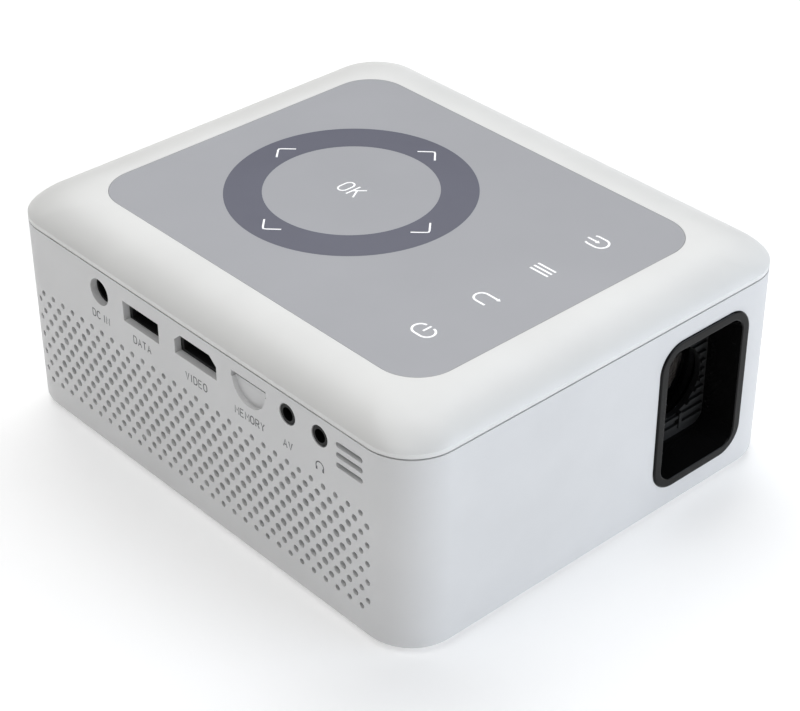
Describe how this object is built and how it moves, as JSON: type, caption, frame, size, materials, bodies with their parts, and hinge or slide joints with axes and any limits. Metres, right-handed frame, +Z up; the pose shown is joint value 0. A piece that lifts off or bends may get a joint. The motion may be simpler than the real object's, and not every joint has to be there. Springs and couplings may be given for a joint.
{
  "type": "home projector",
  "caption": "Rounded tabletop projector with a pillow-shaped top, flush touch panel, recessed lens, side sockets above a perforated vent field, and a screw-out tilt foot.",
  "frame": {"origin": "on the surface the projector stands on, under the middle of its body", "axes": "+Z up, the lens looks along -Y, the sockets are in the -X side"},
  "size_m": [0.1314, 0.1565, 0.0646],
  "materials": {
    "white_shell": "fine satin moulded",
    "touch_glass": "satin",
    "black_gloss": "gloss",
    "black_matte": "matte moulded",
    "grey_knurl": "knurled",
    "lens_glass": "coated",
    "steel": "zinc plated",
    "aluminium": "extruded",
    "brass": "turned",
    "circuit_green": "solder mask",
    "led_yellow": "phosphor",
    "white_plug": "moulded",
    "rubber": "matte",
    "cloth": "woven",
    "ribbon": "satin"
  },
  "bodies": {
    "casing": {"av_jack": "black_matte", "blower_housing": "black_matte", "board_connectors": "white_plug", "board_screws": "steel", "capacitors": "aluminium", "card_socket": "steel", "case_screws": "steel", "chip_heatsink": "aluminium", "condenser_lens": "lens_glass", "data_socket": "black_matte", "dc_jack": "black_matte", "engine_screws": "steel", "exhaust_fan_frame": "black_matte", "fan_leads": "ribbon", "fan_screws": "steel", "fresnel_front": "lens_glass", "fresnel_rear": "lens_glass", "heat_glass": "lens_glass", "heatsink": "aluminium", "ir_receiver": "black_matte", "ir_window": "black_gloss", "lcd_flat_cable": "ribbon", "lcd_frame": "black_matte", "lcd_panel": "lens_glass", "led_board": "aluminium", "led_chip": "led_yellow", "lens_baffle": "black_matte", "lens_bezel": "black_gloss", "lens_holder": "black_matte", "lower_housing": "white_shell", "main_board": "circuit_green", "main_chip": "black_matte", "optical_housing": "black_matte", "panel_flat_cable": "ribbon", "phones_jack": "black_matte", "reflector": "aluminium", "rubber_feet": "rubber", "speaker_cloth": "cloth", "speaker_cone": "black_matte", "speaker_frame": "black_matte", "speaker_magnet": "steel", "tilt_foot_nut": "brass", "top_cover": "white_shell", "touch_board": "circuit_green", "touch_panel": "touch_glass", "tripod_insert": "brass", "video_socket": "black_matte", "wheel_bracket": "black_matte", "wheel_pin": "steel"},
    "focus_ring": {"focus_ring": "black_matte"},
    "focus_wheel": {"focus_wheel": "grey_knurl"},
    "barrel": {"lens_barrel": "black_matte", "front_lens": "lens_glass", "rear_lens": "lens_glass"},
    "exhaust_rotor": {"exhaust_fan_rotor": "black_matte"},
    "blower_wheel": {"blower_rotor": "black_matte"},
    "foot_pad": {"tilt_foot_pad": "rubber"},
    "foot_stem": {"tilt_foot_stem": "steel"}
  },
  "joints": [
    {"name": "focus_ring_turn", "type": "hinge", "parent": "casing", "child": "focus_ring", "pos_m": [0.03405, -0.0488, 0.03], "axis": [0, 1, 0], "range_deg": [-60, 60]},
    {"name": "focus_wheel_turn", "type": "hinge", "parent": "casing", "child": "focus_wheel", "pos_m": [0.05805, -0.049, 0.03], "axis": [0, 1, 0], "range_deg": [-165, 165]},
    {"name": "barrel_slide", "type": "slide", "parent": "casing", "child": "barrel", "axis": [0, 1, 0], "range_m": [-0.0015, 0.0015]},
    {"name": "exhaust_fan_spin", "type": "hinge", "parent": "casing", "child": "exhaust_rotor", "pos_m": [0.03405, 0.07, 0.03], "axis": [0, 1, 0], "continuous": true},
    {"name": "blower_spin", "type": "hinge", "parent": "casing", "child": "blower_wheel", "pos_m": [-0.024, 0.046, 0.01], "axis": [0, 0, 1], "continuous": true},
    {"name": "tilt_foot_lift", "type": "slide", "parent": "casing", "child": "foot_pad", "axis": [0, 0, -1], "range_m": [0, 0.009]},
    {"name": "tilt_foot_turn", "type": "hinge", "parent": "foot_pad", "child": "foot_stem", "pos_m": [0, -0.06, 0.005], "axis": [0, 0, 1], "range_deg": [0, 1080.1]}
  ],
  "couplings": [
    {"joint": "focus_wheel_turn", "follows": "focus_ring_turn", "ratio": -2.75},
    {"joint": "barrel_slide", "follows": "focus_ring_turn", "m_per_rad": 0.0014324},
    {"joint": "tilt_foot_turn", "follows": "tilt_foot_lift", "rad_per_m": 2094.4}
  ]
}
